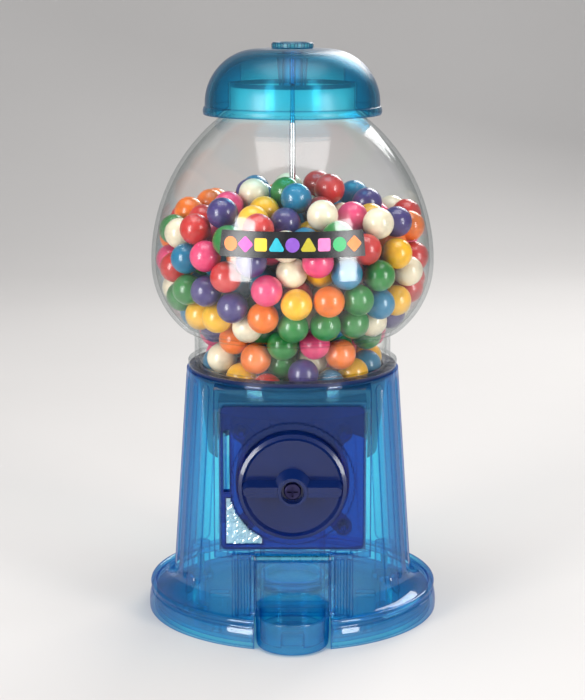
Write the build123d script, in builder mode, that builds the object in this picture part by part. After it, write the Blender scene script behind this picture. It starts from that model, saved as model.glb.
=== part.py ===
"""Table-top gumball machine and coin bank, in millimetres.

The table is z = 0 and the front, with the knob and the tray, faces -Y. Every piece is drawn round the
vertical axis of the globe, where it sits in the assembled machine, and is saved with that axis AXIS_Y behind
the origin, which puts the origin under the middle of the footprint.
"""
from build123d import *
import os
from math import asin, atan2, cos, degrees, pi, radians, sin, sqrt

import numpy as np

os.makedirs("parts", exist_ok=True)

# ---------------------------------------------------------------- driving dimensions
WALL = 2.0                       # general moulding thickness
FIT = 0.05                       # radial running clearance
GAP = 0.4                        # clearance between neighbouring mouldings
AXIS_Y = 3.77                    # from the middle of the footprint back to the axis of the globe

# base
BASE_TOP_Z, BASE_TOP_R = 103.4, 44.4
BASE_FOOT_Z, BASE_FOOT_R = 18.0, 50.4
SKIRT_R = 61.3
BEAD_Z = 10.2
FLUTES, FLUTE_R, FLUTE_DEPTH, FIRST_FLUTE = 24, 4.0, 0.9, 52.0
FRAME_HALF, FRAME_Y, FRAME_LOW, FRAME_HIGH = 31.5, -48.0, 36.6, 99.0
JAMB_HALF, JAMB_Y = 24.3, -50.5
CHUTE_HALF, CHUTE_TOP = 15.3, 36.6
BOSS_X, BOSS_Y, BOSS_R = 40.5, 21.6, 4.2
BOSSES = [(x, y) for x in (-BOSS_X, BOSS_X) for y in (-BOSS_Y, BOSS_Y)]

# front plate and knob
PLATE_HALF, PLATE_LOW, PLATE_HIGH = 28.5, 38.2, 97.0
PLATE_FRONT, PLATE_BACK = -48.6, -45.1
KNOB_Z, KNOB_R = 65.5, 21.5
SHAFT_R = 3.0
SLOT_X, SLOT_WIDTH, SLOT_LOW, SLOT_HIGH = -26.3, 2.4, 62.0, 87.4

# dispensing drum
BALL_R = 6.35
DRUM_R, DRUM_FRONT, DRUM_BACK = 20.0, -41.0, -23.2
POCKET_R, POCKET_Y, POCKET_FLOOR = 7.7, -32.0, 5.9
HOUSING_R, HOUSING_FRONT, HOUSING_BACK = 22.9, -42.5, -20.6
EAR_X, EAR_Z, EAR_R = 20.5, 19.5, 3.5
RATCHET_TEETH, RATCHET_R, RATCHET_ROOT = 12, 11.0, 9.2
RATCHET_FRONT, RATCHET_BACK = -44.6, -42.8

# hopper
RIM_R, RIM_T = 43.2, 1.5
FUNNEL_TOP_Z, FUNNEL_TOP_R, FUNNEL_LOW_Z = 101.5, 38.0, 89.5
FUNNEL_T = 1.5

# globe
GLOBE_T = 1.6
GLOBE_Z, GLOBE_R = 148.0, 58.5
UPPER_ARC, LOWER_ARC, LOWER_END = 76.0, 36.0, 50.0
FOOT_R, FOOT_T, THROAT_R = 43.7, 2.0, 41.0
NECK_R, NECK_TOP = 25.5, 221.5

# lid
LID_LOW, LID_R, BEAD_R, DOME_R, DOME_Z = 208.6, 35.9, 36.7, 22.0, 213.0
LID_TOP = DOME_Z + DOME_R
SOCKET_R, SOCKET_LOW = 6.2, 220.0
CAP_R, CAP_T, STEM_R = 8.6, 2.6, 4.2
ROD_R, ROD_LOW, ROD_TOP = 1.25, 76.0, 234.0

# tray and flap
TRAY_R, TRAY_FRONT_Y, TRAY_BACK_Y, TRAY_TOP = 14.9, -54.1, -41.0, 13.2
HINGE_Y, HINGE_Z, FLAP_LOW = -48.2, 34.4, 14.2

# bottom plate
FLOOR_LOW, FLOOR_T, FLOOR_R = 1.5, 2.0, 58.4
PLUG_R, PLUG_Y = 14.0, 18.0

LABEL_HALF_ANGLE, LABEL_LOW, LABEL_HIGH, LABEL_T = 29.0, 157.6, 167.6, 0.4


def save(piece, name):
    """Label a finished piece and write it to its own STEP file."""
    placed = Pos(0, AXIS_Y, 0) * piece.part
    placed.label = name
    export_step(placed, f"parts/{name}.step")


def front_plane(y):
    """A sketch plane facing the front, with x to the right and y up from the table."""
    return Plane(origin=(0, y, 0), x_dir=(1, 0, 0), z_dir=(0, -1, 0))


def knob_plane(y):
    """The front plane moved up to the axis of the knob."""
    return Plane(origin=(0, y, KNOB_Z), x_dir=(1, 0, 0), z_dir=(0, -1, 0))


def base_radius(z):
    """Outer radius of the tapered base at height z."""
    share = (z - BASE_FOOT_Z) / (BASE_TOP_Z - BASE_FOOT_Z)
    return BASE_FOOT_R + share * (BASE_TOP_R - BASE_FOOT_R)


# ---------------------------------------------------------------- base shell
FRAME_SLOPE = 3.0
LEAN = degrees(atan2(BASE_FOOT_R - BASE_TOP_R, BASE_TOP_Z - BASE_FOOT_Z))
FLUTE_LOW, FLUTE_HIGH = 20.0, 99.0

with BuildPart() as flute_tool:
    low_r = base_radius(FLUTE_LOW) + FLUTE_R - FLUTE_DEPTH
    up_the_side = (0, sin(radians(LEAN)), cos(radians(LEAN)))
    generator = Plane(origin=(0, -low_r, FLUTE_LOW), x_dir=(1, 0, 0), z_dir=up_the_side)
    length = (FLUTE_HIGH - FLUTE_LOW) / cos(radians(LEAN))
    with BuildSketch(generator):
        Circle(FLUTE_R)
    extrude(amount=length)
    with Locations(generator.from_local_coords((0, 0, 0)), generator.from_local_coords((0, 0, length))):
        Sphere(FLUTE_R)

with BuildPart() as base_shell:
    with BuildSketch(Plane.XZ):
        with BuildLine():
            Polyline((0, BASE_TOP_Z), (BASE_TOP_R, BASE_TOP_Z), (BASE_FOOT_R, BASE_FOOT_Z))
            fillet_end = (57.2, BEAD_Z)
            ThreePointArc((BASE_FOOT_R, BASE_FOOT_Z), (52.3, 12.8), fillet_end)
            Line(fillet_end, (58.2, BEAD_Z))
            ThreePointArc((58.2, BEAD_Z), (59.6, BEAD_Z + 1.5), (60.5, BEAD_Z - 0.6))
            ThreePointArc((60.5, BEAD_Z - 0.6), (59.9, 8.6), (60.5, 7.8))
            ThreePointArc((60.5, 7.8), (61.2, 4.5), (SKIRT_R, 0))
            Polyline((SKIRT_R, 0), (0, 0), (0, BASE_TOP_Z))
        make_face()
    revolve(axis=Axis.Z)
    # flutes stand all round, except across the front
    with PolarLocations(0, FLUTES, start_angle=FIRST_FLUTE, angular_range=360 - 2 * FIRST_FLUTE,
                        endpoint=True):
        add(flute_tool.part, mode=Mode.SUBTRACT)
    # flat front: the frame round the plate, and the narrower jamb round the chute
    with BuildSketch(Plane.YZ):
        with BuildLine():
            Polyline((0, FRAME_LOW - WALL), (FRAME_Y, FRAME_LOW - WALL), (FRAME_Y, FRAME_HIGH - FRAME_SLOPE),
                     (1 - BASE_TOP_R, BASE_TOP_Z - 0.6), (0, BASE_TOP_Z - 0.6), (0, FRAME_LOW - WALL))
        make_face()
    extrude(amount=FRAME_HALF, both=True)
    with BuildSketch(Plane.XY.offset(6)):
        with Locations((0, JAMB_Y / 2)):
            Rectangle(2 * JAMB_HALF, -JAMB_Y)
    extrude(amount=FRAME_LOW - 6)
    # hollow inside, with a ring left at the top and the bottom left open
    with BuildSketch(Plane.XZ):
        with BuildLine():
            Polyline((0, BASE_TOP_Z), (40.0, BASE_TOP_Z), (40.0, BASE_TOP_Z - WALL),
                     (BASE_TOP_R - WALL, BASE_TOP_Z - WALL), (BASE_FOOT_R - WALL, BASE_FOOT_Z - 1))
            ThreePointArc((BASE_FOOT_R - WALL, BASE_FOOT_Z - 1), (51.0, 10.8), (56.6, 8.2))
            Polyline((56.6, 8.2), (58.3, 7.4), (59.3, 0), (0, 0), (0, BASE_TOP_Z))
        make_face()
    revolve(axis=Axis.Z, mode=Mode.SUBTRACT)
    with BuildSketch(Plane.XY.offset(FRAME_LOW)):
        with Locations((0, (FRAME_Y + WALL) / 2)):
            Rectangle(2 * (FRAME_HALF - WALL), -FRAME_Y - WALL)
    extrude(amount=BASE_TOP_Z - WALL - FRAME_SLOPE - FRAME_LOW, mode=Mode.SUBTRACT)
    with BuildSketch(Plane.XY.offset(-1)):
        with Locations((0, (JAMB_Y + WALL) / 2)):
            Rectangle(2 * (JAMB_HALF - WALL), -JAMB_Y - WALL)
    extrude(amount=FRAME_LOW - WALL + 1, mode=Mode.SUBTRACT)
    # cheeks beside the chute carry the hinge pin of the flap
    for side in (-1, 1):
        with BuildSketch(Plane.YZ.offset(side * CHUTE_HALF)):
            with Locations((JAMB_Y + 5, (FRAME_LOW + 10) / 2)):
                Rectangle(9, FRAME_LOW - 10)
        extrude(amount=side * WALL)
    # screw bosses for the bottom plate
    with Locations(*[(x, y, 5.5) for x, y in BOSSES]):
        Cylinder(BOSS_R, 14, align=(Align.CENTER, Align.CENTER, Align.MIN))
    with Locations(*[(x, y, 5.5) for x, y in BOSSES]):
        Cylinder(1.55, 11, align=(Align.CENTER, Align.CENTER, Align.MIN), mode=Mode.SUBTRACT)
    # window for the front plate, mouth of the chute, and the bore for the hinge pin
    with BuildSketch(front_plane(FRAME_Y - 1)):
        with Locations((0, (PLATE_LOW + PLATE_HIGH) / 2)):
            RectangleRounded(2 * PLATE_HALF, PLATE_HIGH - PLATE_LOW, 2)
    extrude(amount=-WALL - 2, mode=Mode.SUBTRACT)
    with BuildSketch(front_plane(-80)):
        with Locations((0, CHUTE_TOP / 2 - 1)):
            Rectangle(2 * CHUTE_HALF, CHUTE_TOP + 2)
    extrude(amount=-42, mode=Mode.SUBTRACT)
    with Locations(Location((0, HINGE_Y, HINGE_Z), (0, 90, 0))):
        Cylinder(1.0 + FIT, 2 * (CHUTE_HALF + 1.5), mode=Mode.SUBTRACT)
    # narrow reeds on the jamb, each side of the chute
    for x in (17.6, 20.0, 22.4):
        with BuildSketch(Plane.XY.offset(11)):
            with Locations((-x, JAMB_Y - 0.25), (x, JAMB_Y - 0.25)):
                Circle(0.8)
        extrude(amount=FRAME_LOW - 13, mode=Mode.SUBTRACT)
save(base_shell, "base_shell")

# ---------------------------------------------------------------- front plate
RIM_RING_OUT, RIM_RING_IN, RIM_RING_H = 25.0, 22.4, 1.3
RETURN_X, RETURN_Z, RETURN_W, RETURN_H = -19.4, 49.9, 15.0, 19.4
PAWL_X, PAWL_Z, PAWL_PIN_R = -15.5, 11.3, 1.2
SPRING_X, SPRING_LOW, SPRING_HIGH, SPRING_Y, SPRING_R = -5.0, 78.9, 84.0, -43.2, 1.3
EARS = [(x, z) for x in (-EAR_X, EAR_X) for z in (-EAR_Z, EAR_Z)]

with BuildPart() as front_plate:
    with BuildSketch(front_plane(PLATE_FRONT)):
        with Locations((0, (PLATE_LOW + PLATE_HIGH) / 2)):
            RectangleRounded(2 * (PLATE_HALF - 0.1), PLATE_HIGH - PLATE_LOW - 0.2, 2)
    extrude(amount=PLATE_FRONT - PLATE_BACK)
    with BuildSketch(front_plane(FRAME_Y + WALL + 0.02)):
        with Locations((0, (PLATE_LOW + PLATE_HIGH) / 2 - 0.2)):
            Rectangle(2 * (FRAME_HALF - WALL - 0.3), PLATE_HIGH - PLATE_LOW + 1.2)
    extrude(amount=-0.86)
    # raised ring round the knob, with a fine grip pattern
    with BuildSketch(knob_plane(PLATE_FRONT)):
        Circle(RIM_RING_OUT)
        Circle(RIM_RING_IN, mode=Mode.SUBTRACT)
        with PolarLocations(RIM_RING_OUT, 60):
            Circle(0.45, mode=Mode.SUBTRACT)
    extrude(amount=RIM_RING_H)
    # coin return pocket with its slot, lower left
    with BuildSketch(front_plane(PLATE_FRONT)):
        with Locations((RETURN_X, RETURN_Z)):
            Rectangle(RETURN_W, RETURN_H)
        with Locations((0, KNOB_Z)):
            Circle(RIM_RING_OUT, mode=Mode.SUBTRACT)
    extrude(amount=-1.5, mode=Mode.SUBTRACT)
    # coin slot, shaft bore
    with BuildSketch(front_plane(PLATE_FRONT - 5)):
        with Locations((SLOT_X, (SLOT_LOW + SLOT_HIGH) / 2)):
            Rectangle(SLOT_WIDTH, SLOT_HIGH - SLOT_LOW)
        with Locations((0, KNOB_Z)):
            Circle(SHAFT_R + FIT)
    extrude(amount=-12, mode=Mode.SUBTRACT)
    # bosses behind: four for the drum housing, one pivot for the pawl, one seat for its spring
    with BuildSketch(knob_plane(PLATE_BACK)):
        with Locations(*EARS):
            Circle(3.2)
    extrude(amount=PLATE_BACK - HOUSING_FRONT)
    with BuildSketch(knob_plane(PLATE_BACK)):
        with Locations((PAWL_X, PAWL_Z)):
            Circle(PAWL_PIN_R)
    extrude(amount=PLATE_BACK - RATCHET_BACK)
    with Locations((SPRING_X, PLATE_BACK, SPRING_HIGH)):
        Box(5, 2.5, 1.6, align=(Align.CENTER, Align.MIN, Align.MIN))
    with BuildSketch(knob_plane(HOUSING_FRONT)):
        with Locations(*EARS):
            Circle(1.25)
    extrude(amount=4, mode=Mode.SUBTRACT)
save(front_plate, "front_plate")

# ---------------------------------------------------------------- drum, ratchet and knob
with BuildPart() as drum:
    with BuildSketch(knob_plane(DRUM_BACK)):
        Circle(DRUM_R)
    extrude(amount=DRUM_BACK - DRUM_FRONT)
    with BuildSketch(knob_plane(-18.2)):
        Circle(SHAFT_R)
    extrude(amount=DRUM_BACK - DRUM_FRONT + 21.4)
    with BuildSketch(Plane.XY.offset(KNOB_Z + POCKET_FLOOR)):
        with Locations((0, POCKET_Y)):
            Circle(POCKET_R)
    extrude(amount=DRUM_R, mode=Mode.SUBTRACT)
    # the front end of the shaft has a flat for the knob and a hole for its screw
    with Locations((0, -53.9, KNOB_Z + 3.4)):
        Box(8, 8, 2, mode=Mode.SUBTRACT)
    with BuildSketch(knob_plane(-58)):
        Circle(1.1)
    extrude(amount=-9, mode=Mode.SUBTRACT)
    # groove for the clip at the back
    with BuildSketch(knob_plane(-19.4)):
        Circle(SHAFT_R + 1)
        Circle(SHAFT_R - 0.6, mode=Mode.SUBTRACT)
    extrude(amount=0.9, mode=Mode.SUBTRACT)
save(drum, "drum")

with BuildPart() as ratchet_wheel:
    step = 2 * pi / RATCHET_TEETH
    outline = []
    for tooth in range(RATCHET_TEETH):
        start = tooth * step + radians(94)
        outline.append((RATCHET_R * cos(start), RATCHET_R * sin(start)))
        outline.append((RATCHET_ROOT * cos(start), RATCHET_ROOT * sin(start)))
    with BuildSketch(knob_plane(RATCHET_BACK)):
        with BuildLine():
            Polyline(*outline, close=True)
        make_face()
        Circle(SHAFT_R + 0.02, mode=Mode.SUBTRACT)
    extrude(amount=RATCHET_BACK - RATCHET_FRONT)
save(ratchet_wheel, "ratchet_wheel")

with BuildPart() as pawl:
    with BuildSketch(knob_plane(RATCHET_BACK)):
        with BuildLine():
            Polyline((PAWL_X, PAWL_Z + 2.4), (-3.0, 12.9), (-0.95, 11.2), (-0.95, 9.75), (-3.2, 11.0),
                     (PAWL_X, PAWL_Z - 2.4), close=True)
        make_face()
        with Locations((PAWL_X, PAWL_Z)):
            Circle(2.4)
            Circle(PAWL_PIN_R + FIT, mode=Mode.SUBTRACT)
    extrude(amount=RATCHET_BACK - RATCHET_FRONT)
save(pawl, "pawl")

with BuildPart() as pawl_spring:
    with BuildLine():
        coil = Helix(pitch=0.95, height=SPRING_HIGH - SPRING_LOW - 0.5, radius=SPRING_R,
                     center=(SPRING_X, SPRING_Y, SPRING_LOW + 0.25))
    with BuildSketch(Plane(origin=coil @ 0, z_dir=coil % 0)):
        Circle(0.2)
    sweep(is_frenet=True)
save(pawl_spring, "pawl_spring")

KNOB_BACK, KNOB_FACE, GRIP_FRONT, HUB_FRONT = -50.0, -53.2, -61.5, -62.1
with BuildPart() as knob:
    with BuildSketch(Plane.XY.offset(KNOB_Z)):
        with BuildLine():
            Polyline((0, KNOB_BACK), (KNOB_R - 0.8, KNOB_BACK), (KNOB_R, KNOB_BACK - 0.9),
                     (KNOB_R, KNOB_FACE - 0.6), (KNOB_R - 1.4, KNOB_FACE - 1.2), (KNOB_R - 2.6, KNOB_FACE),
                     (7.4, KNOB_FACE))
            ThreePointArc((7.4, KNOB_FACE), (6.6, KNOB_FACE - 5), (5.8, HUB_FRONT))
            Polyline((5.8, HUB_FRONT), (0, HUB_FRONT), (0, KNOB_BACK))
        make_face()
    revolve(axis=Axis((0, 0, KNOB_Z), (0, 1, 0)))
    with BuildSketch(knob_plane(KNOB_FACE + 0.5)):
        SlotOverall(40.0, 5.6)
    extrude(amount=KNOB_FACE + 0.5 - GRIP_FRONT, taper=5)
    with BuildSketch(knob_plane(HUB_FRONT)):
        Circle(4.6)
    extrude(amount=-3.2, mode=Mode.SUBTRACT)
    with BuildSketch(knob_plane(HUB_FRONT)):
        Circle(1.3)
    extrude(amount=-6, mode=Mode.SUBTRACT)
    with BuildSketch(knob_plane(-57.6)):
        Circle(SHAFT_R + 0.02)
        with Locations((0, 3.45)):
            Rectangle(8, 2, mode=Mode.SUBTRACT)
    extrude(amount=-10, mode=Mode.SUBTRACT)
save(knob, "knob")

with BuildPart() as knob_screw:
    with BuildSketch(knob_plane(HUB_FRONT + 3.2)):
        Circle(3.4)
    extrude(amount=1.6)
    fillet(knob_screw.faces().sort_by(Axis.Y)[0].edges(), 0.7)
    with BuildSketch(knob_plane(HUB_FRONT + 3.2)):
        Circle(1.05)
    extrude(amount=-8)
    with BuildSketch(knob_plane(HUB_FRONT + 1.0)):
        Rectangle(4.2, 0.7)
        Rectangle(0.7, 4.2)
    extrude(amount=-1.5, mode=Mode.SUBTRACT)
save(knob_screw, "knob_screw")

with BuildPart() as shaft_clip:
    with BuildSketch(knob_plane(-19.5)):
        Circle(4.6)
        Circle(SHAFT_R - 0.55, mode=Mode.SUBTRACT)
        with Locations((0, -4)):
            Rectangle(3.6, 6, mode=Mode.SUBTRACT)
    extrude(amount=0.7)
save(shaft_clip, "shaft_clip")

# ---------------------------------------------------------------- drum housing, chute, coin guide
OUTLET_R, INLET_OUT, HOUSING_TOP = 8.2, 9.6, 88.4
with BuildPart() as drum_housing:
    with BuildSketch(knob_plane(HOUSING_BACK)):
        Circle(HOUSING_R)
    extrude(amount=HOUSING_BACK - HOUSING_FRONT)
    with BuildSketch(knob_plane(HOUSING_FRONT + 2)):
        for x, z in EARS:
            with Locations((x, z)):
                Circle(EAR_R)
            with Locations(Location((x * 0.8, z * 0.8), degrees(atan2(z, x)))):
                Rectangle(12, 2 * EAR_R)
    extrude(amount=2)
    with BuildSketch(Plane.XY.offset(HOUSING_TOP - 4)):
        with Locations((0, POCKET_Y)):
            Circle(INLET_OUT)
    extrude(amount=4)
    with BuildSketch(knob_plane(HOUSING_BACK - WALL)):
        Circle(DRUM_R + GAP)
    extrude(amount=40, mode=Mode.SUBTRACT)
    with BuildSketch(Plane.XY.offset(KNOB_Z - 30)):
        with Locations((0, POCKET_Y)):
            Circle(OUTLET_R)
    extrude(amount=60, mode=Mode.SUBTRACT)
    with BuildSketch(knob_plane(HOUSING_BACK + 1)):
        Circle(SHAFT_R + FIT)
        with Locations(*EARS):
            Circle(1.3)
    extrude(amount=30, mode=Mode.SUBTRACT)
save(drum_housing, "drum_housing")

with BuildPart() as housing_screws:
    with BuildSketch(knob_plane(HOUSING_FRONT + 2)):
        with Locations(*EARS):
            Circle(2.5)
    extrude(amount=-1.6)
    fillet(housing_screws.faces().group_by(Axis.Y)[-1].edges(), 0.6)
    with BuildSketch(knob_plane(HOUSING_FRONT + 2)):
        with Locations(*EARS):
            Circle(1.2)
    extrude(amount=5)
    with BuildSketch(knob_plane(HOUSING_FRONT + 3.6)):
        with Locations(*EARS):
            Rectangle(3, 0.6)
            Rectangle(0.6, 3)
    extrude(amount=1.1, mode=Mode.SUBTRACT)
save(housing_screws, "housing_screws")

CHUTE_X, CHUTE_BACK_Y, CHUTE_LOW, CHUTE_HIGH = 13.2, -21.0, 14.4, 46.0
with BuildPart() as chute:
    with BuildSketch(Plane.XY.offset(CHUTE_LOW)):
        with Locations((0, (CHUTE_BACK_Y + HOUSING_FRONT) / 2)):
            Rectangle(2 * CHUTE_X, CHUTE_BACK_Y - HOUSING_FRONT)
        with Locations((0, (CHUTE_BACK_Y + HOUSING_FRONT) / 2 - 1.5)):
            Rectangle(2 * CHUTE_X - 3, CHUTE_BACK_Y - HOUSING_FRONT, mode=Mode.SUBTRACT)
    extrude(amount=CHUTE_HIGH - CHUTE_LOW)
    with BuildSketch(knob_plane(0)):
        Circle(HOUSING_R + 0.02)
    extrude(amount=60, mode=Mode.SUBTRACT)
save(chute, "chute")

GUIDE_WALL, GUIDE_FRONT, GUIDE_BACK, GUIDE_LOW, GUIDE_HIGH = 0.8, -44.4, -18.6, 48.0, 88.2
with BuildPart() as coin_guide:
    with BuildSketch(Plane.XY.offset(GUIDE_LOW)):
        with Locations((SLOT_X, (GUIDE_FRONT + GUIDE_BACK) / 2)):
            Rectangle(SLOT_WIDTH + 2 * GUIDE_WALL, GUIDE_BACK - GUIDE_FRONT)
            Rectangle(SLOT_WIDTH, GUIDE_BACK - GUIDE_FRONT - 2 * GUIDE_WALL, mode=Mode.SUBTRACT)
    extrude(amount=GUIDE_HIGH - GUIDE_LOW)
    with BuildSketch(front_plane(GUIDE_FRONT - 1)):
        with Locations((SLOT_X, (SLOT_LOW + SLOT_HIGH) / 2)):
            Rectangle(SLOT_WIDTH, SLOT_HIGH - SLOT_LOW)
    extrude(amount=-3, mode=Mode.SUBTRACT)
save(coin_guide, "coin_guide")

# ---------------------------------------------------------------- hopper, rod and nut
OUTLET_LOW, HUB_R, HUB_LOW, HUB_HIGH, SKIRT_LOW = 88.6, 4.2, 79.0, 97.5, 68.0
SKIRT_TOP_R, SKIRT_LOW_R = 39.6, 35.8
with BuildPart() as hopper:
    with BuildSketch(Plane.XZ):
        with BuildLine():
            Polyline((0, BASE_TOP_Z + RIM_T), (RIM_R, BASE_TOP_Z + RIM_T), (RIM_R, BASE_TOP_Z),
                     (SKIRT_TOP_R, BASE_TOP_Z), (SKIRT_TOP_R, FUNNEL_TOP_Z), (SKIRT_LOW_R, SKIRT_LOW),
                     (0, SKIRT_LOW), close=True)
        make_face()
    revolve(axis=Axis.Z)
    with BuildSketch(Plane.XZ):
        with BuildLine():
            Polyline((0, SKIRT_LOW - 1), (SKIRT_LOW_R - 1.4, SKIRT_LOW - 1),
                     (SKIRT_TOP_R - 1.5, FUNNEL_TOP_Z), (0, FUNNEL_TOP_Z), close=True)
        make_face()
    revolve(axis=Axis.Z, mode=Mode.SUBTRACT)
    # oblique funnel down to the outlet above the drum
    with BuildSketch(Plane.XY.offset(FUNNEL_TOP_Z)):
        Circle(SKIRT_TOP_R - 0.5)
    with BuildSketch(Plane.XY.offset(FUNNEL_LOW_Z)):
        with Locations((0, POCKET_Y)):
            Circle(POCKET_R + FUNNEL_T)
    loft()
    with BuildSketch(Plane.XY.offset(OUTLET_LOW)):
        with Locations((0, POCKET_Y)):
            Circle(POCKET_R + FUNNEL_T)
    extrude(amount=FUNNEL_LOW_Z - OUTLET_LOW)
    with Locations((0, 0, HUB_LOW)):
        Cylinder(HUB_R, HUB_HIGH - HUB_LOW, align=(Align.CENTER, Align.CENTER, Align.MIN))
    with BuildSketch(Plane.XY.offset(FUNNEL_TOP_Z)):
        Circle(FUNNEL_TOP_R)
    with BuildSketch(Plane.XY.offset(FUNNEL_LOW_Z)):
        with Locations((0, POCKET_Y)):
            Circle(POCKET_R)
    loft(mode=Mode.SUBTRACT)
    with BuildSketch(Plane.XY.offset(FUNNEL_TOP_Z)):
        Circle(FUNNEL_TOP_R)
    extrude(amount=10, mode=Mode.SUBTRACT)
    with BuildSketch(Plane.XY.offset(OUTLET_LOW - 1)):
        with Locations((0, POCKET_Y)):
            Circle(POCKET_R)
    extrude(amount=3, mode=Mode.SUBTRACT)
    # the skirt is open at the front, round the drum housing and the coin guide
    with BuildSketch(Plane.XY.offset(SKIRT_LOW - 1)):
        with Locations((0, -30)):
            Rectangle(62, 60)
    extrude(amount=OUTLET_LOW - SKIRT_LOW + 1, mode=Mode.SUBTRACT)
    # bore for the rod
    with Locations((0, 0, HUB_LOW - 1)):
        Cylinder(ROD_R + FIT, 30, align=(Align.CENTER, Align.CENTER, Align.MIN), mode=Mode.SUBTRACT)
save(hopper, "hopper")

with BuildPart() as centre_rod:
    with Locations((0, 0, ROD_LOW)):
        Cylinder(ROD_R, ROD_TOP - ROD_LOW, align=(Align.CENTER, Align.CENTER, Align.MIN))
    chamfer(centre_rod.edges().filter_by(GeomType.CIRCLE), 0.3)
save(centre_rod, "centre_rod")

with BuildPart() as rod_washer:
    with Locations((0, 0, HUB_LOW - 0.6)):
        Cylinder(4.0, 0.6, align=(Align.CENTER, Align.CENTER, Align.MIN))
        Cylinder(ROD_R + FIT, 0.6, align=(Align.CENTER, Align.CENTER, Align.MIN), mode=Mode.SUBTRACT)
save(rod_washer, "rod_washer")

with BuildPart() as rod_nut:
    with BuildSketch(Plane.XY.offset(HUB_LOW - 0.6)):
        RegularPolygon(3.2, 6)
        Circle(ROD_R + 0.02, mode=Mode.SUBTRACT)
    extrude(amount=-2)
save(rod_nut, "rod_nut")

# ---------------------------------------------------------------- globe and label
def bowl_arcs(shrink):
    """Upper and lower arcs of the bowl, moved inwards by shrink, as (centre r, radius) pairs."""
    return (GLOBE_R - UPPER_ARC, UPPER_ARC - shrink), (GLOBE_R - LOWER_ARC, LOWER_ARC - shrink)


def bowl_outline(shrink, throat_r, throat_z, neck_r):
    """Outline of the bowl from the throat up to the neck, inside a BuildLine."""
    (upper_c, upper_r), (lower_c, lower_r) = bowl_arcs(shrink)
    end = radians(LOWER_END)
    low_point = (lower_c + lower_r * cos(end), GLOBE_Z - lower_r * sin(end))
    high_point = (neck_r + 2.2, GLOBE_Z + sqrt(upper_r ** 2 - (neck_r + 2.2 - upper_c) ** 2))
    middle = radians(LOWER_END / 2)
    Line((throat_r, throat_z), (throat_r, low_point[1] - 3))
    Spline((throat_r, low_point[1] - 3), low_point, tangents=((0, 1), (sin(end), cos(end))))
    ThreePointArc(low_point, (lower_c + lower_r * cos(middle), GLOBE_Z - lower_r * sin(middle)),
                  (GLOBE_R - shrink, GLOBE_Z))
    half = asin((high_point[1] - GLOBE_Z) / upper_r) / 2
    ThreePointArc((GLOBE_R - shrink, GLOBE_Z), (upper_c + upper_r * cos(half), GLOBE_Z + upper_r * sin(half)),
                  high_point)
    Spline(high_point, (neck_r, high_point[1] + 2.4),
           tangents=((-(high_point[1] - GLOBE_Z), high_point[0] - upper_c), (0, 1)))
    return high_point[1] + 2.4


GLOBE_FOOT_Z = BASE_TOP_Z + RIM_T
with BuildPart() as globe:
    with BuildSketch(Plane.XZ):
        with BuildLine():
            neck_z = bowl_outline(0, THROAT_R, GLOBE_FOOT_Z + FOOT_T, NECK_R)
            Polyline((NECK_R, neck_z), (NECK_R, NECK_TOP), (NECK_R - GLOBE_T, NECK_TOP))
            inner_z = bowl_outline(GLOBE_T, THROAT_R - GLOBE_T, GLOBE_FOOT_Z, NECK_R - GLOBE_T)
            Line((NECK_R - GLOBE_T, NECK_TOP), (NECK_R - GLOBE_T, inner_z))
            Polyline((THROAT_R - GLOBE_T, GLOBE_FOOT_Z), (FOOT_R, GLOBE_FOOT_Z),
                     (FOOT_R, GLOBE_FOOT_Z + FOOT_T), (THROAT_R, GLOBE_FOOT_Z + FOOT_T))
        make_face()
    revolve(axis=Axis.Z)
save(globe, "globe")

with BuildPart() as label_panel:
    centre_r = GLOBE_R - UPPER_ARC
    inner, outer = UPPER_ARC + 0.03, UPPER_ARC + 0.03 + LABEL_T

    def on_arc(radius, z):
        """The point on a bowl arc of this radius at height z."""
        return (centre_r + sqrt(radius ** 2 - (z - GLOBE_Z) ** 2), z)

    with BuildSketch(Plane.XZ):
        with BuildLine():
            mid_z = (LABEL_LOW + LABEL_HIGH) / 2
            ThreePointArc(on_arc(inner, LABEL_LOW), on_arc(inner, mid_z), on_arc(inner, LABEL_HIGH))
            Line(on_arc(inner, LABEL_HIGH), on_arc(outer, LABEL_HIGH))
            ThreePointArc(on_arc(outer, LABEL_HIGH), on_arc(outer, mid_z), on_arc(outer, LABEL_LOW))
            Line(on_arc(outer, LABEL_LOW), on_arc(inner, LABEL_LOW))
        make_face()
    revolve(axis=Axis.Z, revolution_arc=2 * LABEL_HALF_ANGLE)
label_panel.part = label_panel.part.rotate(Axis.Z, -90 - LABEL_HALF_ANGLE)
save(label_panel, "label_panel")

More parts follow.
